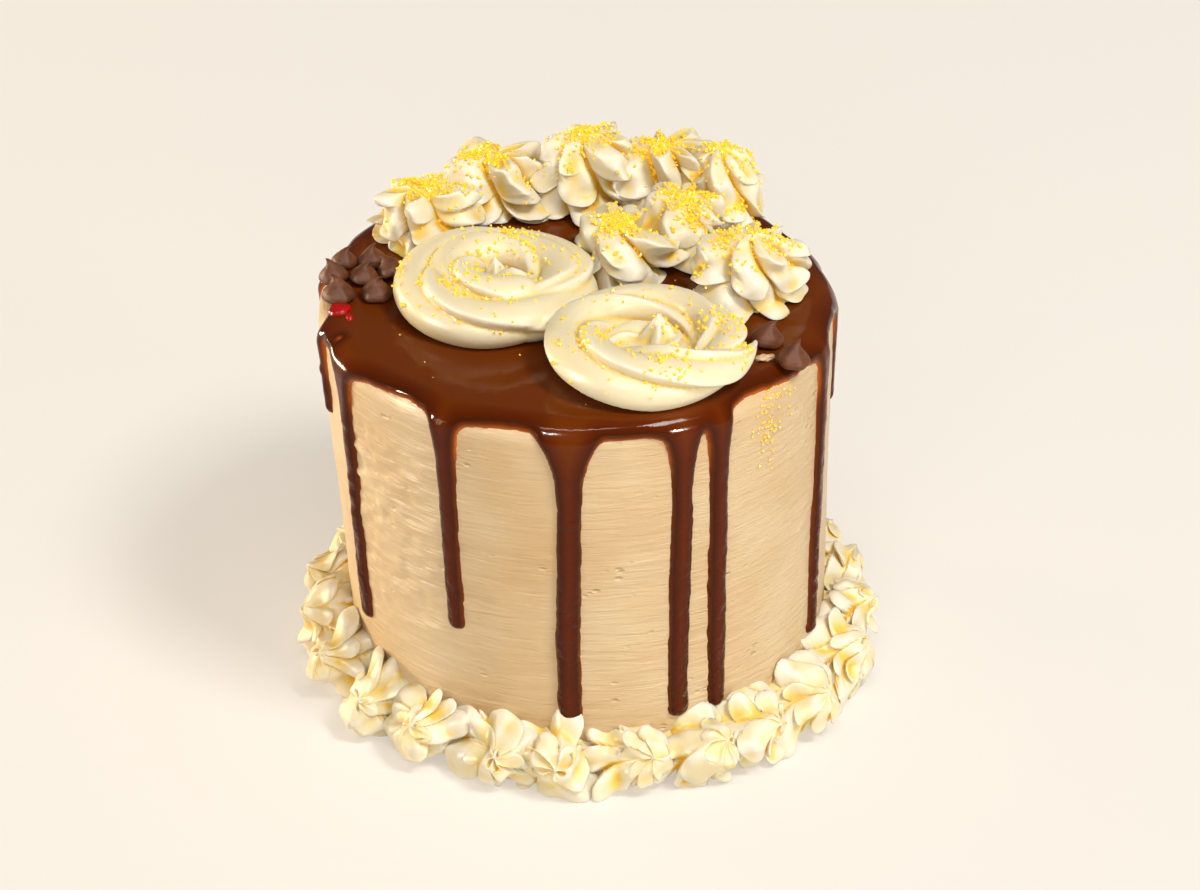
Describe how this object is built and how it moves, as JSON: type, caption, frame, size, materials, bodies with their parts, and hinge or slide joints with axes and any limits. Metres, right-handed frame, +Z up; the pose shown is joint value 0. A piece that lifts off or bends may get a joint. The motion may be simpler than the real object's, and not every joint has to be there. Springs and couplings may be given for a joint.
{
  "type": "chocolate drip cake",
  "caption": "Round frosted layer cake with chocolate ganache dripping down its side, piped cream swirls and chocolate chips on top, and a piped cream border round its foot.",
  "frame": {"origin": "middle of the cake's round underside, on the surface it stands on", "axes": "+Z up; -Y towards the front, the side with the large front rosette; +X to the right seen from the front"},
  "size_m": [0.1949, 0.1933, 0.1593],
  "materials": {
    "frosting": "smooth scraped buttercream, satin",
    "ganache": "glossy poured chocolate",
    "cream": "soft piped cream, satin",
    "chip": "matte chocolate"
  },
  "bodies": {
    "root": {"border_star_01": "cream", "border_star_02": "cream", "border_star_03": "cream", "border_star_04": "cream", "border_star_05": "cream", "border_star_06": "cream", "border_star_07": "cream", "border_star_08": "cream", "border_star_09": "cream", "border_star_10": "cream", "border_star_11": "cream", "border_star_12": "cream", "border_star_13": "cream", "border_star_14": "cream", "border_star_15": "cream", "border_star_16": "cream", "border_star_17": "cream", "border_star_18": "cream", "border_star_19": "cream", "border_star_20": "cream", "border_star_21": "cream", "border_star_22": "cream", "border_star_23": "cream", "cake_body": "frosting", "chip_1": "chip", "chip_2": "chip", "chip_3": "chip", "chip_4": "chip", "chip_5": "chip", "chip_6": "chip", "chip_7": "chip", "chip_8": "chip", "chip_9": "chip", "ganache": "ganache", "rosette_front": "cream", "rosette_left": "cream", "swirl_back_centre": "cream", "swirl_back_left": "cream", "swirl_back_mid_left": "cream", "swirl_back_mid_right": "cream", "swirl_back_right": "cream", "swirl_middle": "cream", "swirl_middle_right": "cream", "swirl_right": "cream"}
  },
  "joints": []
}
